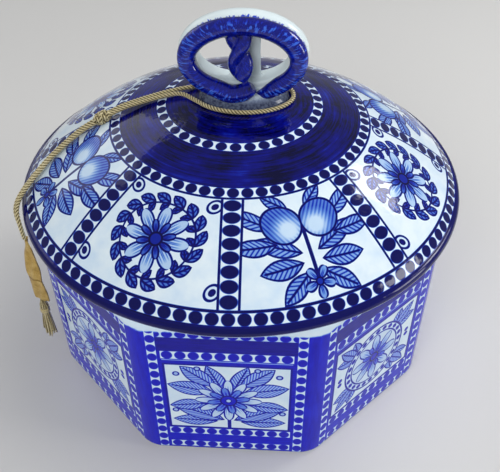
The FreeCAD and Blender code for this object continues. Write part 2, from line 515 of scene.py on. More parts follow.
def makePlainGlaze():      # white inside and under the jar, bare where it stands
    f = Finish("plainGlaze")
    cloud = f.noise(f.place, 70.0, 3.0)
    grit = f.noise(f.place, 1500.0, 2.0)
    bare = f.z.under(0.35, 0.3)
    ink = (cloud * 0.5 + 0.05).cover(grit * 0.3 + 0.70, bare)
    f.set(Base_Color=f.ramp(ink, plainInks))
    f.bump(cloud * 0.5 + grit * 0.05, 0.3, 0.0010)
    f.set(Roughness=bare * 0.55 + 0.12, IOR=1.43)
    return f.material


def paintPlain(piece, material, isPlain):      # gives the plain glaze to the faces that isPlain picks
    piece.data.materials.append(material)
    for polygon in piece.data.polygons:
        centre = polygon.center / mm
        if isPlain(centre.xy.length, centre.z, polygon.normal.z):
            polygon.material_index = 1


plainGlaze = makePlainGlaze()


# jar body: eight glazed sides, a white shoulder and a round mouth

bodySettings = {
    "reach": 90.45,            # from the axis to the middle of a side
    "cornerRadius": 13.0,
    "cornerSteps": 7,
    "sideSteps": 12,
    "heightSteps": 26,
    "footStart": (78.0, 1.6),      # reach and height, here and below
    "foot": [(79.0, 1.6), (79.6, 0.9), (80.2, 0.3), (81.2, 0.0), (87.6, 0.0)],
    "footRounding": 2.5,
    "shoulderHeight": 92.5,
    "shoulderRounding": 8.0,
    "shoulderInner": 81.2,
    "mouthRadius": 77.0,
    "mouthRounding": 1.4,
    "mouthDepth": 87.0,        # height of the lip's lower edge
    "lipRounding": 1.0,
    "inside": [(82.6, 85.2), (84.0, 83.2), (84.4, 80.0), (84.4, 50.0), (84.4, 14.0)],
    "floorCorner": (76.4, 14.0),
    "floorRounding": 8.0,
    "floorEnd": (40.0, 6.0),
    "glazeEnd": 83.4,          # height where the blue ends
    "glazeFade": 1.3,
    "glazeInner": 84.0,        # the blue begins this far from the axis
    "baseEnd": 0.9,            # height where the glaze breaks white
    "strokeEdge": 29.0,        # the brush went upright outside this
    "beadColumn": 30.6,
    "columnSpan": (2.0, 84.5),
    "columnBeads": (5.7, 1.95, 2.35, 2.0),      # pitch, half width, half length and half width of a bead
    "beadRows": (              # lower and upper edge, half length, pitch, ink of the ground
        (3.0, 7.2, 27.2, 5.44, 0.05), (13.3, 17.8, 27.2, 5.44, 0.05),
        (66.9, 71.6, 27.2, 5.44, 0.05), (80.2, 84.0, 28.4, 5.2, 0.14)),
    "rowBead": (0.42, 1.04),      # a bead's shares of the pitch and of the row
    "lowBand": (28.6, 7.0, 13.6),      # half length, lower and upper edge
    "highBand": (28.6, 71.8, 80.2),
    "bareLine": (26.9, 65.9, 66.4),
    "darkLine": (26.9, 18.4, 63.9),
    "ground": (26.0, 19.3, 63.0),
    "pictureMiddle": 41.0,
}


def makeBodyFinish(settings):
    f = Finish("bodyGlaze")
    azimuth = f.x.node("ARCTAN2", f.y * -1.0)
    radius = span(f.x, f.y)
    u = radius * azimuth.wrap(-eighth / 2, eighth / 2).sin()
    z = f.z
    across = u.abs()
    cloud = f.noise(f.place, 90.0, 3.0, 0.6)

    def box(half, low, high, side=0.3, end=0.3):
        return across.under(half, side) * z.within(low, high, end)

    # brushed cobalt over the whole side, darker where strokes cross
    upright = f.noise(f.at(u * 0.045, azimuth * 0.9, z * 0.008), 9.0, 3.0, 0.6)
    level = f.noise(f.at(u * 0.010, azimuth * 0.9, z * 0.16), 7.0, 3.0, 0.6)
    stroke = level + (upright - level) * across.over(settings["strokeEdge"], 0.5)
    ink = stroke * 0.42 + 0.50
    ink = ink.cover(0.58, box(*settings["lowBand"], end=0.4) * 0.3)
    ink = ink.cover(stroke * 0.24 + 0.76, box(*settings["highBand"], side=0.4, end=0.4))

    # beads beside the picture and across it
    inColumn = z.within(*settings["columnSpan"], 0.6)
    column = across - settings["beadColumn"]
    ink = paintBeads(ink, z + 1.0, column, *settings["columnBeads"], inColumn, 0.06, 0.72)
    beadAlong, beadAcross = settings["rowBead"]
    for low, high, reach, pitch, white in settings["beadRows"]:
        half = (high - low) / 2
        ink = paintBeads(ink, u + pitch / 2, z - (low + high) / 2, pitch, half, pitch * beadAlong,
                         half * beadAcross, across.under(reach, 0.3), white, 0.74)
    ink = ink.cover(0.12, box(*settings["bareLine"]) * 0.8)

    # the picture on its white ground inside a dark line
    inside = box(*settings["ground"])
    ink = ink.cover(0.90, box(*settings["darkLine"]))
    ink = ink.cover((cloud * 0.16 - 0.06).most(0.0), inside)
    v = z - settings["pictureMiddle"]
    flower = paintFlowerPanel(ink, u, v)
    ringed = paintRingPanel(ink, u, v)
    art = flower.cover(ringed, everySecond(azimuth * (1 / (2 * eighth)) + 0.25))
    ink = ink.cover(art + cloud * 0.07, inside)

    # the blue ends softly below the shoulder, and the glaze breaks white at the base
    fade = settings["glazeFade"]
    edge = f.noise(f.at(azimuth * 2.2, 0.0, z * 0.02), 8.0, 2.0) * (2 * fade)
    edge += settings["glazeEnd"] - fade
    blue = (z - edge).under(0.0, fade) * radius.over(settings["glazeInner"], 1.0)
    ink = (cloud * 0.10).cover(ink, blue).cover(0.10, z.under(settings["baseEnd"], 0.6))
    f.set(Base_Color=f.ramp(ink, bodyInks))
    glazeGloss(f, 0.30, 1.33)
    return f.material


flowerLeaves = (      # root, angle, length and width, on both sides of the stem
    ((1.0, 3.0), 68, 21, 8.0), ((5.0, -17.0), 2, 20, 8.0), ((2.0, -16.0), 26, 25, 9.5),
    ((5.0, 8.0), 42, 20, 9.0), ((6.0, 4.0), 14, 20.5, 9.5), ((9.0, -4.0), -8, 17, 8.0),
)


def paintFlowerPanel(ink, u, v):      # one full flower between large leaves
    across = u.abs()
    middle = (0.0, -1.5)
    for leaf in flowerLeaves:
        ink = paintLeaf(ink, across, v, *leaf, 0.21, 0.88)
    ink = ink.cover(0.86, across.under(0.8, 0.3) * v.within(-22.5, -4.0, 0.4))
    ink = paintPetals(ink, u, v, middle, 12, 1.0, 14.4, 7.4, 0.10, 0.84)
    ink = paintPetals(ink, u, v, middle, 8, 0.5, 9.4, 6.0, 0.34, 0.88, 0.2)
    ink = paintDisc(ink, u, v, middle, 3.8, 0.62, 0.92, 0.7)
    ink = paintDisc(ink, u, v, middle, 1.5, 0.16, 0.86, 0.5)
    for centre in ((23.4, -9.6), (12.6, 20.0), (21.6, 16.2)):
        ink = paintDisc(ink, across, v, centre, 1.5, 0.20, 0.84, 0.6)
    return ink


ringSettings = {
    "middle": 17.0,            # radius of the ring of beads
    "beads": 24,
    "edges": ((18.4, 19.4), (14.8, 15.6)),
    "corner": (11.6, 9.6),
    "leaves": ((14, 14.5), (72, 12.5), (42, 16.5)),      # angle and length
}


def paintRingPanel(ink, u, v):      # a full flower in a ring, leaves at the corners
    across, upward = u.abs(), v.abs()
    for angle, length in ringSettings["leaves"]:
        ink = paintLeaf(ink, across, upward, ringSettings["corner"], angle, length, 6.6, 0.21, 0.88)
    middle = (0.0, 0.0)
    distance = discDistance(u, v, middle)
    ink = ink.cover(0.06, distance.under(19.4, 0.3))
    for inner, outer in ringSettings["edges"]:
        ink = ink.cover(0.84, distance.within(inner, outer, 0.3))
    radius = ringSettings["middle"]
    pitch = 2 * pi * radius / ringSettings["beads"]
    ink = paintBeads(ink, u.node("ARCTAN2", v) * radius, distance - radius, pitch, 1.4, 1.5, 1.2,
                     distance.within(15.6, 18.4, 0.2), 0.06, 0.76)
    ink = paintPetals(ink, u, v, middle, 8, 2.0, 14.4, 8.4, 0.14, 0.86)
    ink = paintPetals(ink, u, v, middle, 8, 1.5, 8.8, 5.0, 0.42, 0.88, pi / 8)
    ink = paintDisc(ink, u, v, middle, 2.9, 0.66, 0.95, 0.8)
    return paintDisc(ink, across, upward, (22.6, 1.5), 1.3, 0.55, 0.88)


def makeJarBody(settings, material):
    reach = settings["reach"]
    half = eighth / 2
    start = settings["footStart"]
    bpy.ops.mesh.primitive_circle_add(vertices=8, radius=reach * mm / cos(half), fill_type="NGON",
                                      location=(0, 0, start[1] * mm), rotation=(0, 0, half))
    jar = settle()
    jar.name = "jarBody"
    openMesh()
    bpy.ops.mesh.bevel(offset_type="OFFSET", offset=settings["cornerRadius"] * mm * tan(half),
                       segments=settings["cornerSteps"], affect="VERTICES")
    bpy.ops.object.mode_set(mode="OBJECT")
    mesh = jar.data
    for part in [*mesh.polygons, *mesh.vertices]:
        part.select = False
    for edge in mesh.edges:      # the eight straight sides
        a, b = [mesh.vertices[k].co for k in edge.vertices]
        edge.select = (a - b).length > 20 * mm
    bpy.ops.object.mode_set(mode="EDIT")
    bpy.ops.mesh.select_mode(type="EDGE")
    bpy.ops.mesh.subdivide(number_cuts=settings["sideSteps"] - 1)
    bpy.ops.mesh.select_all(action="SELECT")
    widen(start[0] / reach, start[0] / reach)

    toe = settings["footRounding"]
    rounding = settings["shoulderRounding"]
    top = settings["shoulderHeight"]
    steps = settings["heightSteps"]
    outline = settings["foot"] + arcPoints((reach - toe, toe), toe, -80, 0, 5)
    outline += [(reach, toe + (top - rounding - toe) * i / steps) for i in range(1, steps + 1)]
    outline += arcPoints((reach - rounding, top - rounding), rounding, 0, 90, 10)
    outline += [(settings["shoulderInner"], top)]
    growProfile(start, outline)

    # the mouth is round: the last ring is pushed onto a circle
    bpy.ops.mesh.extrude_region_move(TRANSFORM_OT_translate={"value": (0, 0, 0)})
    bpy.ops.transform.tosphere(value=1.0)
    bpy.ops.object.mode_set(mode="OBJECT")
    reaches = [vertex.co.xy.length for vertex in mesh.vertices if vertex.select]
    mean = sum(reaches) / len(reaches) / mm
    bpy.ops.object.mode_set(mode="EDIT")
    mouth = settings["mouthRadius"]
    rim = settings["mouthRounding"]
    widen((mouth + rim) / mean, (mouth + rim) / mean)
    lip = settings["lipRounding"]
    depth = settings["mouthDepth"]
    inner = arcPoints((mouth + rim, top - rim), rim, 90, 180, 4) + [(mouth, depth)]
    inner += arcPoints((mouth + lip, depth - 0.5), lip, 180, 270, 3) + settings["inside"]
    inner += arcPoints(settings["floorCorner"], settings["floorRounding"], 0, -90, 6)
    inner += [settings["floorEnd"]]
    growProfile((mouth + rim, top), inner)
    sealMesh()
    return finish(jar, "jar", "jar_body", material)


jarBody = makeJarBody(bodySettings, makeBodyFinish(bodySettings))
paintPlain(jarBody, plainGlaze, lambda reach, height, up: reach < 85.0 or (height < 1.0 and up < -0.7))
print("stage: jar body", len(jarBody.data.polygons))


# lid: a shallow dome in painted rings, with a roll round its edge

lidSettings = {
    "steps": 256,
    "seat": 92.5,
    "turned": 1.05,            # degrees, as the lid stands on the jar
    "centre": 8.0,
    "table": 16.0,
    "rings": ((22.0, 43.0), (57.0, 32.4), (95.0, 8.4), (98.4, 4.9)),      # reach, height over the seat
    "bows": ((0.9, 14), (1.45, 20), (0.15, 4)),      # rise and steps from each ring to the next
    "rollTop": [(98.75, 4.75), (99.2, 4.7)],
    "rollCentre": (98.5, 2.45),
    "rollRadius": 2.42,
    "rollFoot": [(99.3, 0.1), (98.8, 0.0)],
    "flangeOuter": 75.8,
    "flangeInner": 70.8,
    "flangeDepth": 8.2,
    "flangeRounding": 0.8,
    "flangeTop": 17.0,
    "thickness": 6.5,
    "innerCentre": 10.0,
    "panelInner": 57.8,
    "panelOuter": 94.2,
    "lineInner": 57.0,
    "lineOuter": 95.0,
    "stripHalf": 3.5,
    "pictureScale": (0.82, 0.97),      # round the lid and outwards
    "rollGlaze": (97.3, 97.6),         # the roll is cobalt below this height, outside this reach
    "bareLine": 94.15,
    "beadRings": (             # inner and outer edge, beads, a bead's shares of ring and pitch
        (95.1, 98.4, 100, 1.05, 0.43), (53.1, 57.0, 62, 1.03, 0.42), (32.3, 36.3, 37, 1.02, 0.40)),
}


sprigLeaves = (      # root, angle, length and width, on both sides of the twig
    ((3.0, 6.0), 8, 15, 6.6), ((2.0, 9.0), 38, 14, 6.0), ((2.5, 3.0), -22, 16, 6.6),
    ((9.0, -6.0), -30, 15, 6.4), ((2.6, -12.0), -40, 10, 5.0), ((9.5, -1.0), 4, 15, 6.0),
)


def paintSprigPanel(ink, u, v):      # two round fruits on a forked twig
    across = u.abs()
    for leaf in sprigLeaves:
        ink = paintLeaf(ink, across, v, *leaf, 0.26, 0.86)
    ink = ink.cover(0.86, across.under(0.6, 0.25) * v.within(-6.0, 15.0, 0.4))
    radius = 6.8
    distance = discDistance(across, v, (6.4, -7.2))
    ball = distance.under(radius, 0.25)
    ink = ink.cover(0.10, ball)
    shade = ball * discDistance(across, v, (4.6, -5.2)).over(radius * 0.62, 4.0)
    hatch = (across + v * 0.6).waves(1.5).over(0.0, 0.9)
    ink = ink.cover(0.46, shade * 0.75)
    ink = ink.cover(0.62, shade * hatch * 0.6)
    ink = ink.cover(0.88, distance.within(radius - 0.7, radius, 0.25))
    ink = paintPetals(ink, u, v, (0.0, 12.4), 5, 0.6, 5.2, 5.0, 0.28, 0.86)
    return paintDisc(ink, u, v, (0.0, 12.4), 1.4, 0.60, 0.92)


def paintWreathPanel(ink, u, v):      # an eight-petalled flower in a leafy wreath
    middle = (0.0, 0.0)
    distance = discDistance(u, v, middle)
    count = 16
    turns = u.node("ARCTAN2", v) * (count / (2 * pi))
    arc = turns.fraction() * (2 * pi * 14.6 / count)
    ink = paintLeaf(ink, arc, distance - 14.2, (0.1, -1.2), 26, 6.6, 3.9, 0.40, 0.86)
    ink = paintLeaf(ink, arc, distance - 14.2, (0.1, -1.4), -34, 5.0, 3.0, 0.50, 0.86)
    ink = ink.cover(0.86, distance.within(12.4, 13.0, 0.25))
    ink = paintPetals(ink, u, v, middle, 8, 1.8, 11.4, 7.4, 0.16, 0.84)
    ink = paintPetals(ink, u, v, middle, 8, 1.2, 6.8, 4.0, 0.44, 0.90, pi / 8)
    ink = paintDisc(ink, u, v, middle, 2.5, 0.64, 0.94, 0.7)
    for centre in ((23.6, 13.0), (14.2, -14.6)):
        ink = paintDisc(ink, u.abs(), v, centre, 2.7, 0.06, 0.84, 0.75)
        ink = paintDisc(ink, u.abs(), v, centre, 1.1, 0.80, 0.90)
    return ink


def makeLidFinish(settings):
    f = Finish("lidGlaze")
    azimuth = f.x.node("ARCTAN2", f.y * -1.0) - radians(settings["turned"])
    radius = span(f.x, f.y)
    cloud = f.noise(f.place, 90.0, 3.0, 0.6)

    # strokes that run round with the turning lid
    ring = f.noise(f.at(radius * 0.42, azimuth.cos() * 0.9, azimuth.sin() * 0.9), 2.2, 5.0, 0.66)
    patch = f.noise(f.at(radius * 0.05, azimuth.cos() * 1.6, azimuth.sin() * 1.6), 1.6, 3.0, 0.6)
    ink = (ring - 0.5) * 0.85 + (patch - 0.5) * 0.75 + 0.88

    # pictures
    inner, outer = settings["panelInner"], settings["panelOuter"]
    wide, high = settings["pictureScale"]
    u = radius * (azimuth.wrap(0.0, eighth) - eighth / 2) * wide
    v = (radius - (inner + outer) / 2) * high
    ground = (cloud * 0.16 - 0.06).most(0.0)
    field = radius.within(inner, outer, 0.3)
    sprig = paintSprigPanel(ground, u, v)
    wreath = paintWreathPanel(ground, u, v)
    art = sprig.cover(wreath, everySecond(azimuth * (1 / (2 * eighth)))) + cloud * 0.07
    ink = ink.cover(0.92, radius.within(settings["lineInner"], settings["lineOuter"], 0.3))
    ink = ink.cover(art, field)

    # strips of beads between the pictures
    half = settings["stripHalf"]
    strip = radius * azimuth.wrap(-eighth / 2, eighth / 2).sin()
    ink = ink.cover(0.90, strip.abs().under(half + 1.0, 0.25) * field)
    pitch = (outer - inner) / 8
    ink = paintBeads(ink, radius - (inner + pitch / 2), strip, pitch, half, pitch * 0.46,
                     half * 0.98, field)

    # bead rings
    for inner, outer, count, beadAcross, beadAlong in settings["beadRings"]:
        middle = (inner + outer) / 2
        half = (outer - inner) / 2
        pitch = 2 * pi * middle / count
        ink = paintBeads(ink, azimuth * middle, radius - middle, pitch, half, pitch * beadAlong,
                         half * beadAcross, radius.within(inner - 0.3, outer + 0.3, 0.2))

    # the roll: cobalt, with a thin bare line along its lower edge
    top, edge = settings["rollGlaze"]
    ink = ink.cover(ring * 0.16 + 0.84, f.z.under(top, 0.3) * radius.over(edge, 0.3))
    ink = ink.cover(0.05, f.z.under(settings["bareLine"], 0.35))
    f.set(Base_Color=f.ramp(ink, lidInks))
    glazeGloss(f, 0.45, 1.38)
    return f.material


def makeLid(settings, material):
    seat = settings["seat"]

    def raised(points, rise=seat):
        return [(reach, height + rise) for reach, height in points]

    crown, collar, panel, groove = raised(settings["rings"])
    cap, slope, step = [bowPoints(a, b, bow, count) for a, b, (bow, count) in
                        zip((crown, collar, panel), (collar, panel, groove), settings["bows"])]
    bpy.ops.mesh.primitive_circle_add(vertices=settings["steps"], radius=settings["centre"] * mm,
                                      fill_type="NGON", location=(0, 0, crown[1] * mm))
    lid = settle()
    lid.name = "lidDome"
    openMesh()
    outline = [(settings["table"], crown[1]), crown] + cap + slope + step
    outline += raised(settings["rollTop"])
    outline += raised(arcPoints(settings["rollCentre"], settings["rollRadius"], 68, -50, 12))
    outline += raised(settings["rollFoot"])

    # under the edge, round the flange and up into the shell
    outer, inner = settings["flangeOuter"], settings["flangeInner"]
    low = seat - settings["flangeDepth"]
    bend = settings["flangeRounding"]
    outline += [(outer, seat), (outer, low)]
    outline += arcPoints((outer - bend, low), bend, 0, -90, 3)
    outline += arcPoints((inner + bend, low), bend, -90, -180, 3)
    outline += [(inner, seat + settings["flangeTop"])]
    drop = -settings["thickness"]
    outline += [point for point in raised(slope[::-1], drop) if point[0] < inner - bend]
    outline += raised(cap[::-1], drop) + [(settings["innerCentre"], crown[1] + drop)]
    growProfile((settings["centre"], crown[1]), outline)
    sealMesh()
    return finish(lid, "lid", "lid", material)


lidDome = makeLid(lidSettings, makeLidFinish(lidSettings))
paintPlain(lidDome, plainGlaze, lambda reach, height, up: reach < 98.9 and up < 0.3)
print("stage: lid", len(lidDome.data.polygons))


# knob: a pierced white ring on an oval foot, with a blue knotted roll of clay on its front

knobSettings = {
    "middle": (1.8, 2.2, 156.2),      # centre of the white ring
    "halfWidth": 27.6,
    "halfHeight": 18.2,
    "thickness": 10.4,
    "rimWidth": 4.6,
    "holes": (19.6, 11.4),            # half width and half height of both finger holes together
    "holesDrop": 0.9,
    "webHalf": 6.3,                   # the web between the holes, at its waist
    "webFlare": 3.84,
    "webShift": 0.8,
    "webDepth": 2.1,
    "foot": (19.8, 13.1),
    "pad": 134.9,
    "footProfile": [(1.0, 136.2), (0.975, 137.4), (0.93, 138.6), (0.87, 139.8), (0.74, 141.4)],
    "ropeCentre": (23.3, 13.9),       # half width and half height of the roll's centre line
    "ropeFront": -3.9,
    "lean": 4.2,                      # how far its lower side stands forward
    "ropeRadius": 4.05,
    "ropeSweep": (-50, 292),          # degrees, where it begins and how far round it goes
    "ropeStart": ((5.4, 2.2, -16.4, 1.2), (9.2, 1.4, -15.2, 2.8)),      # across, back, up, radius
    "ropeEnd": ((-5.6, -0.4, -14.6, 4.1), (-1.2, -1.0, -13.8, 4.0), (2.6, -1.3, -12.0, 3.7),
                (4.6, -1.3, -10.4, 2.4)),
    "strandTop": 11.0,
    "strandLength": 19.2,
    "strandReach": 2.7,
    "strandRadius": 2.95,
    "strandSweep": (160, 300),
    "strandShift": (-1.7, -0.5),      # sideways, at its top and its foot
    "strandFront": (0.4, -2.0),       # from the roll's centre line, at its top and its foot
    "strandDepth": 1.2,
    "footDarkening": (140.4, 3.4),        # height below which the foot is painted darker, and how softly
    "strokeReach": 21.0,              # brush strokes are as long as on a ring of this radius
    "spillSqueeze": 1.5,
    "spillReach": 23.5,               # the blue ran past the roll outside this and above spillBase
    "spillBase": 142.0,
    "spillFront": -3.6,
    "coreReach": 15.5,                # strokes cross on the strands inside this
    "crest": -5.2,
}


def roll(name, settings, line, resolution):      # a closed roll of clay; line holds x, y, z and radius
    x, _, z = settings["middle"]
    curve = bpy.data.curves.new(name, "CURVE")
    spline = addSpline(curve, [((a + x) * mm, b * mm, (c + z) * mm) for a, b, c, _ in line])
    for point, (*_, radius) in zip(spline.points, line):
        point.radius = radius * mm
    curve.bevel_depth = 1.0
    curve.bevel_resolution = resolution
    curve.use_fill_caps = True
    curve.resolution_u = 8
    pick(addObject(name, curve))
    bpy.ops.object.convert(target="MESH")
    return bpy.context.object


def fuse(pieces, name, voxel, smoothing):      # one skin over several pieces
    pick(pieces[0])
    for piece in pieces[1:]:
        piece.select_set(True)
    bpy.ops.object.join()
    piece = bpy.context.object
    piece.name = name
    remesh = piece.modifiers.new("skin", "REMESH")
    remesh.mode = "VOXEL"
    remesh.voxel_size = voxel * mm
    relax = piece.modifiers.new("relax", "SMOOTH")
    relax.factor = 0.5
    relax.iterations = smoothing
    applyModifiers(piece)
    return piece


def addBar(x, y, z, vertices, depth):      # a round bar from front to back
    bpy.ops.object.select_all(action="DESELECT")
    bpy.ops.mesh.primitive_cylinder_add(vertices=vertices, radius=1.0, depth=depth, location=(x, y, z),
                                        rotation=(pi / 2, 0, 0))
    return bpy.context.object


def cutAway(piece, tool):
    cut = piece.modifiers.new("cut", "BOOLEAN")
    cut.operation = "DIFFERENCE"
    cut.object = tool
    applyModifiers(piece)
    bpy.data.objects.remove(tool)


def makeKnobRing(settings, material):
    x, y, z = [value * mm for value in settings["middle"]]
    ring = addBar(x, y, z, 96, 1.0)
    ring.scale = [settings[name] * mm for name in ("halfWidth", "halfHeight", "thickness")]
    settle()
    rim = ring.modifiers.new("rim", "BEVEL")
    rim.width = settings["rimWidth"] * mm
    rim.segments = 5
    rim.limit_method = "ANGLE"
    rim.angle_limit = radians(60)
    applyModifiers(ring)

    # two finger holes, straight towards the middle and round outwards
    holes = addBar(x, y, z - settings["holesDrop"] * mm, 96, 60 * mm)
    wide, high = settings["holes"]
    holes.scale = (wide * mm, high * mm, 1.0)
    settle()
    web = addBar(x, y, z, 48, settings["webDepth"] * mm)
    web.scale = (settings["webHalf"] * mm, 1.0, 1.0)
    settle()
    for vertex in web.data.vertices:      # narrowest halfway up
        side = 1 if vertex.co.x > x else -1
        flare = 0.0 if abs(vertex.co.z - z) < mm else settings["webFlare"]
        vertex.co.x = x + (settings["webShift"] + side * (settings["webHalf"] + flare)) * mm
    cutAway(holes, web)
    cutAway(ring, holes)

    # oval foot, flared where it meets the lid
    pad = settings["pad"]
    bpy.ops.object.select_all(action="DESELECT")
    bpy.ops.mesh.primitive_circle_add(vertices=96, radius=mm, fill_type="NGON",
                                      location=(0, 0, pad * mm))
    foot = settle()
    openMesh()
    widen(*settings["foot"])
    growProfile((1.0, pad), settings["footProfile"])
    sealMesh()
    foot.location.x = x
    knob = fuse([ring, foot], "knobRing", 0.55, 7)
    return finish(knob, "lid", "pretzel_knob", material, 60)


def makeKnobRoll(settings, material):
    wide, high = settings["ropeCentre"]
    front, lean = settings["ropeFront"], settings["lean"]
    low = front - lean
    begin, sweep = settings["ropeSweep"]
    line = [(x, low + y, z, radius) for x, y, z, radius in settings["ropeStart"]]
    steps = 32
    for i in range(steps + 1):      # round the ring, from the lower right to the lower left
        turn = radians(begin + sweep * i / steps)
        radius = settings["ropeRadius"] * (0.97 + 0.05 * sin(3.1 * turn))
        y = front - lean * (1 - sin(turn)) / 2
        line.append((wide * cos(turn), y, high * sin(turn), radius))
    line += [(x, low + y, z, radius) for x, y, z, radius in settings["ropeEnd"]]
    pieces = [roll("knobRoll", settings, line, 6)]
    begin, sweep = settings["strandSweep"]
    left, right = settings["strandShift"]
    high, low = settings["strandFront"]
    steps = 22
    for name, start in (("strandA", 0), ("strandB", pi)):      # two strands twisted up the middle
        line = []
        for i in range(steps + 1):
            t = i / steps
            turn = radians(begin + sweep * t) + start
            x = settings["strandReach"] * cos(turn) * (1.0 - 0.1 * t) + left + (right - left) * t
            y = front + high + (low - high) * t - settings["strandDepth"] * sin(turn)
            z = settings["strandTop"] - settings["strandLength"] * t
            line.append((x, y, z, settings["strandRadius"] + 0.25 * sin(turn * 2.0)))
        pieces.append(roll(name, settings, line, 5))
    knot = fuse(pieces, "knobPretzel", 0.42, 2)
    return finish(knot, "lid", None, material, 60)


footInks = [
    (0.00, (222, 233, 234)), (0.20, (204, 220, 226)), (0.50, (112, 124, 148)), (0.85, (36, 42, 70)),
]
spillInks = [(0.30, (8, 20, 150)), (0.62, (20, 54, 190)), (0.80, (70, 120, 220))]
rollInks = [
    (0.00, (206, 226, 238)), (0.40, (62, 116, 220)), (0.60, (10, 38, 176)),
    (0.80, (2, 8, 112)), (1.00, (0, 2, 44)),
]


def roundKnob(f, settings, squeeze):      # the way round the ring, and the distance from its middle
    dx = f.x - settings["middle"][0]
    dz = (f.z - settings["middle"][2]) * squeeze
    return dx.node("ARCTAN2", dz) * settings["strokeReach"], span(dx, dz)


def makeKnobFinishes(settings):
    white = Finish("knobWhite")
    cloud = white.noise(white.place, 110.0, 3.0)
    speckle = white.noise(white.place, 900.0, 2.0)
    # the foot is painted darker and speckled towards the bottom
    darkBelow = white.z.under(*settings["footDarkening"])
    ink = (cloud * 0.14).cover(speckle * 0.5 + cloud * 0.3 + 0.36, darkBelow)
    along, reach = roundKnob(white, settings, settings["spillSqueeze"])
    notch = white.noise(white.at(along, white.y * 0.3, 0.0), 0.8, 3.0, 0.7)
    outer = reach.over(settings["spillReach"], 1.0) * white.z.over(settings["spillBase"], 1.0)
    spill = (white.y - notch * 4.4).under(settings["spillFront"], 0.5) * outer
    white.set(Base_Color=white.blend(white.ramp(ink, footInks), white.ramp(notch, spillInks), spill))
    glazeGloss(white, 0.25)

    blue = Finish("knobBlue")
    along, reach = roundKnob(blue, settings, settings["ropeCentre"][0] / settings["ropeCentre"][1])
    strokes = blue.noise(blue.at(along, reach * 0.22, blue.y * 0.22), 0.95, 3.0, 0.6)
    crossing = blue.at((blue.x - blue.z) * 0.5, (blue.z + blue.x) * 1.3, blue.y * 0.3)
    core = reach.under(settings["coreReach"], 2.0)
    texture = strokes.cover(blue.noise(crossing, 0.9, 3.0, 0.6), core)
    crest = blue.y.under(settings["crest"], 3.4)      # the brush left less colour on the crest
    light = texture.over(0.54, 0.10) * crest * (reach.over(20.0, 6.0) + core * 0.6).least(1.0)
    ink = ((texture - 0.5) * 0.9 + 0.84).cover(0.42, light * 0.9)
    blue.set(Base_Color=blue.ramp(ink, rollInks))
    glazeGloss(blue, 0.16, 1.55)
    return white.material, blue.material


knobWhite, knobBlue = makeKnobFinishes(knobSettings)
knobRing = makeKnobRing(knobSettings, knobWhite)
knobPretzel = makeKnobRoll(knobSettings, knobBlue)
print("stage: knob", len(knobRing.data.polygons), len(knobPretzel.data.polygons))


# gold cord, its knot, the folded tag and the tassel

cordInks = [
    (0.10, (44, 36, 18)), (0.35, (112, 98, 56)), (0.62, (186, 170, 120)), (0.90, (232, 222, 184)),
]


def makeCordFinish():
    f = Finish("goldCord")
    fibre = f.noise(f.place, 2600.0, 2.0)
    worn = f.noise(f.place, 60.0, 2.0)
    lift = Num(f.tree, addNode(f.tree, "Attribute", attribute_name="lift").outputs["Fac"])
    # painted shade: from lift, the grooves between the plies are darker than their crests; on the
    # tassel, lift only varies each fibre's tone
    ink = lift.over(0.84, 0.26) * 0.62 + fibre * 0.34 + worn * 0.22 - 0.14
    f.set(Base_Color=f.ramp(ink, cordInks), Roughness=0.42, Metallic=0.25, Sheen_Weight=0.25)
    f.bump(fibre, 0.35, 0.0003)
    return f.material


knotSettings = {
    "centre": (-60.9, -4.4, 125.8),
    "axis": (-0.872, -0.243, -0.426),
    "length": 8.4,
    "width": 2.15,
    "core": 0.45,              # the strands come no closer to the axis
    "strandRadius": 0.00098,
    "step": 0.0003,
    "strands": ((0.0, 1.5), (pi, 1.5), (pi / 2, -1.25), (-pi / 2, -1.25)),      # start, turns
}


def knotLine(settings, phase, turns):      # a strand that winds tightly round the knot's own axis
    axis = Vector(settings["axis"]).normalized()
    side = axis.cross(Vector((0, 0, 1))).normalized()
    sideways = (side, axis.cross(side))
    line = []
    steps = 60
    for i in range(steps + 1):
        t = i / steps
        place = Vector(settings["centre"]) + axis * ((t - 0.5) * settings["length"])
        swell = max(sin(pi * t) ** 0.6 * settings["width"], settings["core"])
        line.append(around(place, sideways, swell, 2 * pi * turns * t + phase) * mm)
    return line


def makeKnot(settings, cord, material):
    strands = Strands()
    fine = dict(cord, step=settings["step"])
    for phase, turns in settings["strands"]:
        strands.twist(knotLine(settings, phase, turns), settings["strandRadius"], fine)
    return strands.piece("cordKnot", "lid", "cord_knot", material)


tagSettings = {
    "pivot": (-93.66, -41.89, 84.5),
    "bearing": 65.9,            # degrees round from the front towards the left
    "twist": 44.0,              # how far its lower part has turned towards the front
    "twistDrop": 9.0,
    "length": 39.5,
    "rise": 0.9,                # how far its mouth stands over the pivot
    "cuts": 15,
    "topHalf": 1.8,
    "half": 4.0,
    "widest": 20.0,             # down from the top
    "crease": 24.0,
    "creaseHalf": 1.4,
    "creaseShare": 0.90,        # its width there, as a share
    "bulge": 1.1,
    "setBack": 0.6,
    "thickness": 1.5,
    "ripple": (0.30, 1.3, 0.35),      # its height, and how fast it runs across and down
}


def tagPlace(settings, across, out, drop):      # across the tag, away from the jar, down from the pivot
    turned = min(1.0, max(0.0, drop) / settings["twistDrop"])
    turn = radians(settings["bearing"] - settings["twist"] * turned)
    outward = Vector((-sin(turn), -cos(turn), 0))
    along = Vector((cos(turn), -sin(turn), 0))
    return (Vector(settings["pivot"]) + along * across + outward * out - Vector((0, 0, drop))) * mm


cardInks = [(0.20, (120, 92, 40)), (0.45, (190, 156, 82)), (0.75, (222, 196, 128))]


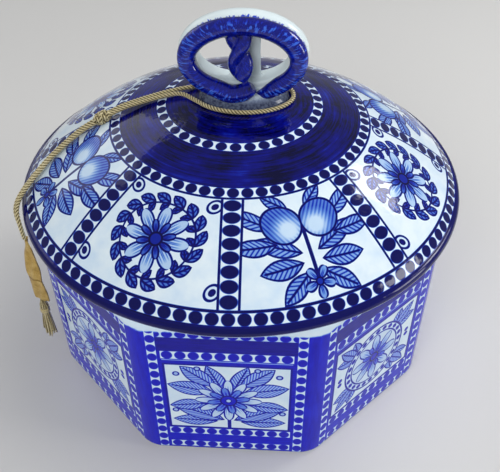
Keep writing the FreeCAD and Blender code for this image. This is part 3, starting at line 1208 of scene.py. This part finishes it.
def makeTagFinish(settings):
    f = Finish("goldCard")
    fold = f.noise(f.place, 260.0, 3.0, 0.6)
    fleck = f.noise(f.place, 1800.0, 2.0)
    # painted shade: a darker line along the crease of the fold
    crease = (f.z - (settings["pivot"][2] - settings["crease"])).abs().under(0.5, 0.8)
    ink = (fold * 0.7 + fleck * 0.3).cover(0.15, crease * 0.7)
    f.set(Base_Color=f.ramp(ink, cardInks), Roughness=0.38, Metallic=0.55)
    f.bump(fold + fleck * 0.3, 0.5, 0.0006)
    return f.material


def makeTag(settings, material):
    bpy.ops.object.select_all(action="DESELECT")
    bpy.ops.mesh.primitive_cube_add(size=1.0, location=(0, 0, 0))
    tag = bpy.context.object
    tag.name = "goldTag"
    openMesh()
    bpy.ops.mesh.subdivide(number_cuts=settings["cuts"])
    bpy.ops.object.mode_set(mode="OBJECT")
    crease, length = settings["crease"], settings["length"]
    ripple, crossing, falling = settings["ripple"]
    for vertex in tag.data.vertices:      # shaped into a narrow folded sleeve with a bend at its crease
        drop = (0.5 - vertex.co.z) * length
        widening = min(1.0, drop / settings["widest"]) ** 0.8
        half = settings["topHalf"] + (settings["half"] - settings["topHalf"]) * widening
        if abs(drop - crease) < settings["creaseHalf"]:
            half *= settings["creaseShare"]
        across = vertex.co.x * 2 * half
        swell = 1.0 - 0.55 * (vertex.co.x * 2) ** 2
        bend = drop / crease if drop < crease else 1 - (drop - crease) / (length - crease) * 0.9
        out = vertex.co.y * settings["thickness"] * swell + settings["bulge"] * bend
        out += ripple * sin(across * crossing + drop * falling) - settings["setBack"]
        vertex.co = tagPlace(settings, across, out, drop - settings["rise"])
    rim = tag.modifiers.new("rim", "SUBSURF")
    rim.levels = 1
    rim.render_levels = 1
    applyModifiers(tag)
    return finish(tag, "tag", "gold_tag", material, 50)


tasselSettings = {
    "top": 39.0,                # down from the pivot
    "fibres": 46,
    "fibreRadius": 0.00034,
    "lengths": (21.0, 25.2),
    "steps": 24,
    "binding": 7.0,             # how far down the fibres are bound
    "bindingHalf": (1.75, 1.5),
    "bindingRadius": 0.00075,
    "bindingDrops": (5.4, 6.7),
    "neck": (0.75, 1.9, 5.0),      # half width at the tag, its growth, and within what drop
    "waist": (0.55, 1.8),          # how far the binding draws the fibres in, and over what length
    "fray": ((8.0, 1.6), (25.0, 3.5)),      # drop and half width, where they fray and at their ends
    "widest": 3.4,
}
goldenAngle = 2.39996      # spreads the fibres evenly


def makeTassel(settings, tag, material):
    strands = Strands()
    top = settings["top"]
    steps = settings["steps"]
    neck, growth, within = settings["neck"]
    drawn, waist = settings["waist"]
    (frayed, narrow), (end, loose) = settings["fray"]
    for i in range(settings["fibres"]):      # loose fibres, bound once and frayed below
        angle = goldenAngle * i
        spread = sqrt((i + 0.5) / settings["fibres"])
        bend = random.uniform(-1.0, 1.0)
        length = random.uniform(*settings["lengths"])
        line = []
        for k in range(steps + 1):
            t = k / steps
            drop = t * length
            bound = drawn * exp(-((drop - settings["binding"]) / waist) ** 2)
            wide = narrow + (loose - narrow) * (drop - frayed) / (end - frayed)
            if drop < frayed:
                wide = neck + growth * min(1.0, drop / within) * (1 - bound)
            wide = min(wide, settings["widest"])
            across = spread * wide * cos(angle) + 0.35 * bend * sin(3.0 * t + i)
            out = spread * wide * 0.75 * sin(angle) + 0.25 * bend * cos(4.0 * t + i)
            line.append(tagPlace(tag, across, out, top + drop - 1.0))
        strands.tube(line, settings["fibreRadius"], 5, 0.78 + 0.22 * random.random())
    wide, deep = settings["bindingHalf"]
    for drop in settings["bindingDrops"]:
        ring = []
        for k in range(41):
            angle = 2 * pi * k / 40
            lower = top + drop + 0.3 * sin(angle)
            ring.append(tagPlace(tag, wide * cos(angle), deep * sin(angle), lower))
        strands.tube(ring, settings["bindingRadius"], 7, 0.92)
    return strands.piece("cordTassel", "tag", "cord_tassel", material)


goldCord = makeCordFinish()
cordKnot = makeKnot(knotSettings, cordSettings, goldCord)
goldTag = makeTag(tagSettings, makeTagFinish(tagSettings))
cordTassel = makeTassel(tasselSettings, tagSettings, goldCord)
cordLoop = makeCord("cordLoop", "cord_loop", cordSettings, goldCord)
cordTailA = makeCord("cordTailA", "cord_tail_a", cordSettings, goldCord)
cordTailB = makeCord("cordTailB", "cord_tail_b", cordSettings, goldCord)
print("stage: cords, tag and tassel")


# floor and light

stageSettings = {
    "floor": (206, 205, 203),
    "air": (0.93, 0.96, 1.0, 1.0),
    "world": 0.22,
    "backdrop": 0.14,      # how much paler the room looks than the light that it gives
    "aim": (0, 0, 0.08),
    "lamps": (      # name, place, size, energy, whether the gloss shows it
        ("key", (0.50, 0.30, 1.20), 1.0, 6.3, False),
        ("fill", (-0.35, -1.10, 0.95), 1.0, 12.6, False),
        ("window", (0.62, 0.30, 0.62), 0.22, 1.7, True),
        ("side", (1.00, -0.15, 0.40), 0.36, 3.2, True),
        ("left", (-0.75, 0.60, 0.65), 0.60, 1.3, True),
    ),
}


def makeStage(settings):
    bpy.ops.object.select_all(action="DESELECT")
    bpy.ops.mesh.primitive_plane_add(size=6.0, location=(0, 0, 0))
    floor = bpy.context.object
    floor.name = "floor"
    f = Finish("floorPaper")
    f.bump(f.noise(f.place, 300.0, 2.0), 0.05, 0.0004)
    f.set(Base_Color=tint(settings["floor"]), Roughness=0.85)
    floor.data.materials.append(f.material)
    world = bpy.data.worlds.new("room")
    bpy.context.scene.world = world
    world.use_nodes = True
    tree = world.node_tree
    path = addNode(tree, "LightPath")
    camera, glossy, through = [Num(tree, path.outputs[f"Is {kind} Ray"])
                               for kind in ("Camera", "Glossy", "Transmission")]
    seen = camera.most(glossy).most(through) * settings["backdrop"] + settings["world"]
    colour, strength = tree.nodes["Background"].inputs[:2]
    plug(tree, colour, settings["air"])
    plug(tree, strength, seen)
    for name, place, size, energy, shown in settings["lamps"]:
        data = bpy.data.lights.new(name, "AREA")
        data.size = size
        data.energy = energy
        lamp = addObject(name, data)
        lamp.location = place
        sight = Vector(settings["aim"]) - Vector(place)
        lamp.rotation_euler = sight.to_track_quat("-Z", "Y").to_euler()
        lamp.visible_glossy = shown


makeStage(stageSettings)
bpy.context.scene.view_settings.view_transform = "Standard"
print("stage: floor and light")
